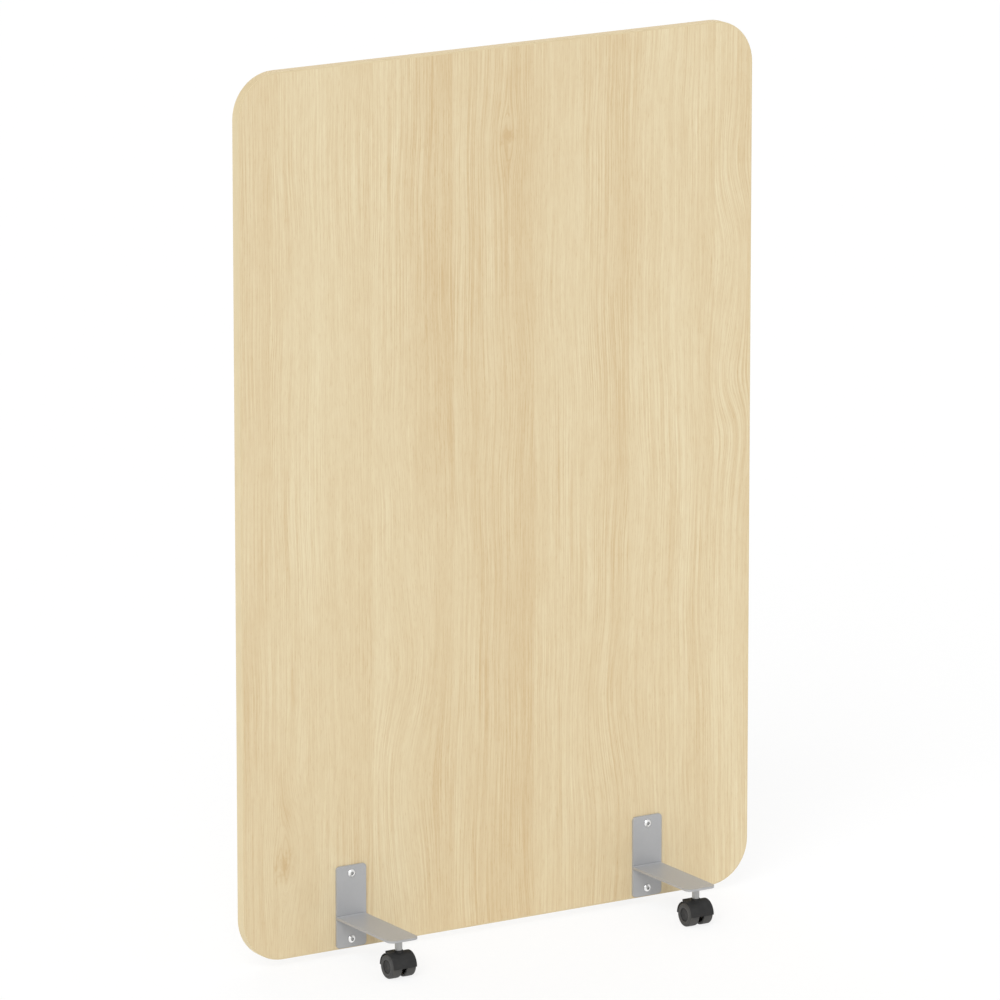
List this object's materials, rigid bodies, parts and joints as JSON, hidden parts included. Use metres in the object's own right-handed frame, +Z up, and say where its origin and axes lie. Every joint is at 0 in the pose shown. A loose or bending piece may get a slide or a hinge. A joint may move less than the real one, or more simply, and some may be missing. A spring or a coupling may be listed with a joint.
{
  "type": "rolling partition",
  "caption": "Upright board screen with rounded corners and an edge band, bolted to steel foot brackets on swivelling twin-wheel castors.",
  "frame": {"origin": "on the floor, under the middle of the panel", "axes": "+Z up, X along the panel's width, -Y the front, which is the side that the picture shows"},
  "size_m": [0.8, 0.2988, 1.21],
  "materials": {
    "laminate": "pale vertical-grain laminate, satin",
    "band": "pale wood-tone edge band, satin",
    "bracket": "light grey powder coat, fine texture",
    "fastener": "bright zinc plate",
    "steel": "turned steel, zinc plated",
    "nylon": "black moulded nylon, satin",
    "cap": "black moulded plastic, satin"
  },
  "bodies": {
    "frame": {"panel_board": "laminate", "edge_band": "band", "front_left_plate": "bracket", "front_left_arm": "bracket", "front_right_plate": "bracket", "front_right_arm": "bracket", "rear_left_plate": "bracket", "rear_left_arm": "bracket", "rear_right_plate": "bracket", "rear_right_arm": "bracket", "left_lower_bolt": "fastener", "left_lower_sleeve_nut": "fastener", "left_upper_bolt": "fastener", "left_upper_sleeve_nut": "fastener", "right_lower_bolt": "fastener", "right_lower_sleeve_nut": "fastener", "right_upper_bolt": "fastener", "right_upper_sleeve_nut": "fastener", "front_left_stem": "steel", "front_left_ring": "steel", "front_right_stem": "steel", "front_right_ring": "steel", "rear_left_stem": "steel", "rear_left_ring": "steel", "rear_right_stem": "steel", "rear_right_ring": "steel"},
    "front_left_swivel": {"front_left_hood": "nylon", "front_left_axle": "steel"},
    "front_left_inner_roller": {"front_left_inner_wheel": "nylon", "front_left_inner_cap": "cap"},
    "front_left_outer_roller": {"front_left_outer_wheel": "nylon", "front_left_outer_cap": "cap"},
    "front_right_swivel": {"front_right_hood": "nylon", "front_right_axle": "steel"},
    "front_right_inner_roller": {"front_right_inner_wheel": "nylon", "front_right_inner_cap": "cap"},
    "front_right_outer_roller": {"front_right_outer_wheel": "nylon", "front_right_outer_cap": "cap"},
    "rear_left_swivel": {"rear_left_hood": "nylon", "rear_left_axle": "steel"},
    "rear_left_inner_roller": {"rear_left_inner_wheel": "nylon", "rear_left_inner_cap": "cap"},
    "rear_left_outer_roller": {"rear_left_outer_wheel": "nylon", "rear_left_outer_cap": "cap"},
    "rear_right_swivel": {"rear_right_hood": "nylon", "rear_right_axle": "steel"},
    "rear_right_inner_roller": {"rear_right_inner_wheel": "nylon", "rear_right_inner_cap": "cap"},
    "rear_right_outer_roller": {"rear_right_outer_wheel": "nylon", "rear_right_outer_cap": "cap"}
  },
  "joints": [
    {"name": "front_left_swivel_turn", "type": "hinge", "parent": "frame", "child": "front_left_swivel", "pos_m": [-0.235, -0.1315, 0.0374], "axis": [0, 0, 1], "continuous": true},
    {"name": "front_left_inner_wheel_spin", "type": "hinge", "parent": "front_left_swivel", "child": "front_left_inner_roller", "pos_m": [-0.235, -0.131, 0.0165], "axis": [1, 0, 0], "continuous": true},
    {"name": "front_left_outer_wheel_spin", "type": "hinge", "parent": "front_left_swivel", "child": "front_left_outer_roller", "pos_m": [-0.235, -0.131, 0.0165], "axis": [1, 0, 0], "continuous": true},
    {"name": "front_right_swivel_turn", "type": "hinge", "parent": "frame", "child": "front_right_swivel", "pos_m": [0.235, -0.1315, 0.0374], "axis": [0, 0, 1], "continuous": true},
    {"name": "front_right_inner_wheel_spin", "type": "hinge", "parent": "front_right_swivel", "child": "front_right_inner_roller", "pos_m": [0.235, -0.131, 0.0165], "axis": [1, 0, 0], "continuous": true},
    {"name": "front_right_outer_wheel_spin", "type": "hinge", "parent": "front_right_swivel", "child": "front_right_outer_roller", "pos_m": [0.235, -0.131, 0.0165], "axis": [1, 0, 0], "continuous": true},
    {"name": "rear_left_swivel_turn", "type": "hinge", "parent": "frame", "child": "rear_left_swivel", "pos_m": [-0.235, 0.1315, 0.0374], "axis": [0, 0, 1], "continuous": true},
    {"name": "rear_left_inner_wheel_spin", "type": "hinge", "parent": "rear_left_swivel", "child": "rear_left_inner_roller", "pos_m": [-0.235, 0.131, 0.0165], "axis": [1, 0, 0], "continuous": true},
    {"name": "rear_left_outer_wheel_spin", "type": "hinge", "parent": "rear_left_swivel", "child": "rear_left_outer_roller", "pos_m": [-0.235, 0.131, 0.0165], "axis": [1, 0, 0], "continuous": true},
    {"name": "rear_right_swivel_turn", "type": "hinge", "parent": "frame", "child": "rear_right_swivel", "pos_m": [0.235, 0.1315, 0.0374], "axis": [0, 0, 1], "continuous": true},
    {"name": "rear_right_inner_wheel_spin", "type": "hinge", "parent": "rear_right_swivel", "child": "rear_right_inner_roller", "pos_m": [0.235, 0.131, 0.0165], "axis": [1, 0, 0], "continuous": true},
    {"name": "rear_right_outer_wheel_spin", "type": "hinge", "parent": "rear_right_swivel", "child": "rear_right_outer_roller", "pos_m": [0.235, 0.131, 0.0165], "axis": [1, 0, 0], "continuous": true}
  ]
}
